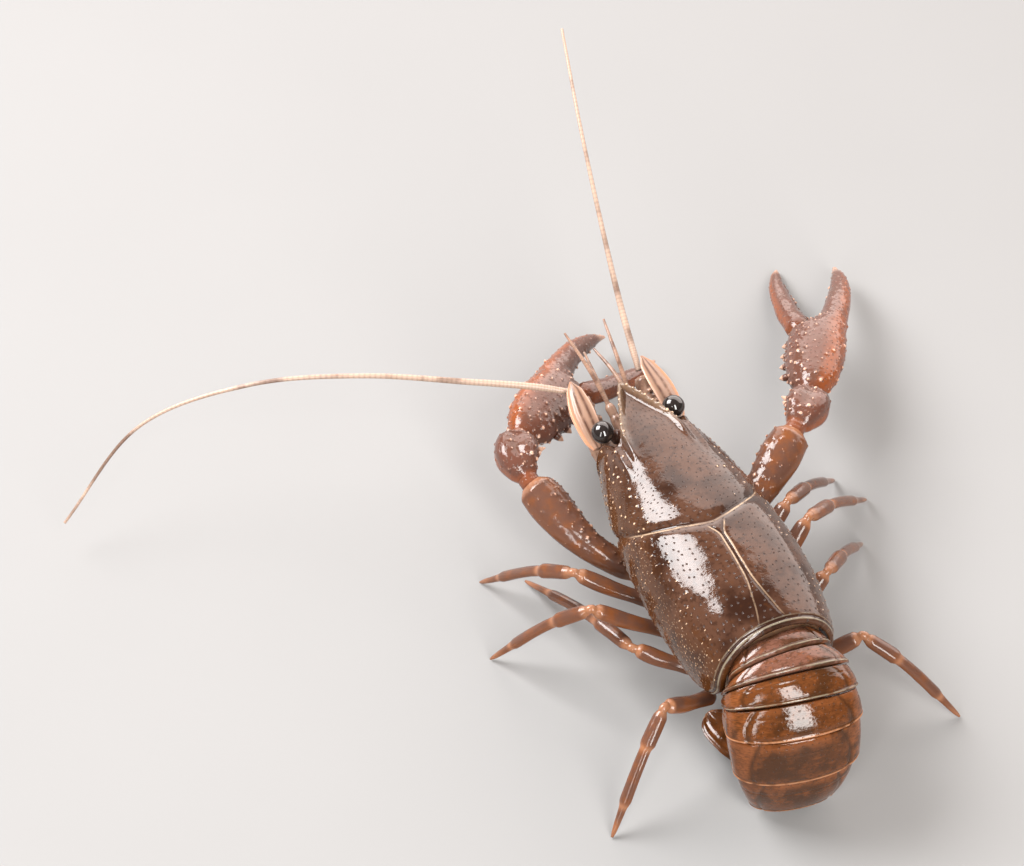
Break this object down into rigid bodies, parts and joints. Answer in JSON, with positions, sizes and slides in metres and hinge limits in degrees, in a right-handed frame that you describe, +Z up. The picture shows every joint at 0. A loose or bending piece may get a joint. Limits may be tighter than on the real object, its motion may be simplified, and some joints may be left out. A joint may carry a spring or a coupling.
{
  "type": "raw crayfish",
  "caption": "Whole raw freshwater crayfish with a wet brown shell, claws held forward, long feelers and the tail curled under, resting on its tail fan and feet.",
  "frame": {"origin": "on the floor, in the middle of the footprint", "axes": "+X to the animal's right, +Y to its head, +Z up from the floor"},
  "size_m": [0.1452, 0.134, 0.0492],
  "materials": {
    "shell": "wet glossy shell, dark maroon brown with olive sides and pale grains",
    "tail_shell": "wet glossy shell, amber brown with pale rims",
    "belly": "wet pale brown belly skin",
    "limb": "wet glossy shell, orange brown to dark brown",
    "claw": "wet glossy shell, dark red brown with pale spikes",
    "feeler": "wet thin shell, pinkish tan",
    "eye": "black, very glossy"
  },
  "bodies": {
    "root": {"carapace": "shell", "breast": "belly", "tail_ring_1": "tail_shell", "tail_ring_2": "tail_shell", "tail_ring_3": "tail_shell", "tail_ring_4": "tail_shell", "tail_ring_5": "tail_shell", "tail_ring_6": "tail_shell", "swim_leg_left_2": "limb", "swim_leg_right_2": "limb", "swim_leg_left_4": "limb", "swim_leg_right_4": "limb", "telson": "tail_shell", "fan_inner_left": "tail_shell", "fan_outer_left": "tail_shell", "fan_inner_right": "tail_shell", "fan_outer_right": "tail_shell", "eye_left": "eye", "eye_stalk_left": "feeler", "antenna_base_left": "feeler", "antenna_scale_left": "feeler", "feeler_left": "feeler", "mouth_leg_left": "limb", "antenna_left": "feeler", "claw_arm_left": "limb", "claw_wrist_left": "claw", "claw_hand_left": "claw", "claw_finger_left": "claw", "leg_upper_left_2": "limb", "leg_lower_left_2": "limb", "leg_upper_left_3": "limb", "leg_lower_left_3": "limb", "leg_upper_left_4": "limb", "leg_lower_left_4": "limb", "leg_upper_left_5": "limb", "leg_lower_left_5": "limb", "eye_right": "eye", "eye_stalk_right": "feeler", "antenna_base_right": "feeler", "antenna_scale_right": "feeler", "feeler_right": "feeler", "mouth_leg_right": "limb", "antenna_right": "feeler", "claw_arm_right": "limb", "claw_wrist_right": "claw", "claw_hand_right": "claw", "claw_finger_right": "claw", "leg_upper_right_2": "limb", "leg_lower_right_2": "limb", "leg_upper_right_3": "limb", "leg_lower_right_3": "limb", "leg_upper_right_4": "limb", "leg_lower_right_4": "limb", "leg_upper_right_5": "limb", "leg_lower_right_5": "limb"}
  },
  "joints": []
}
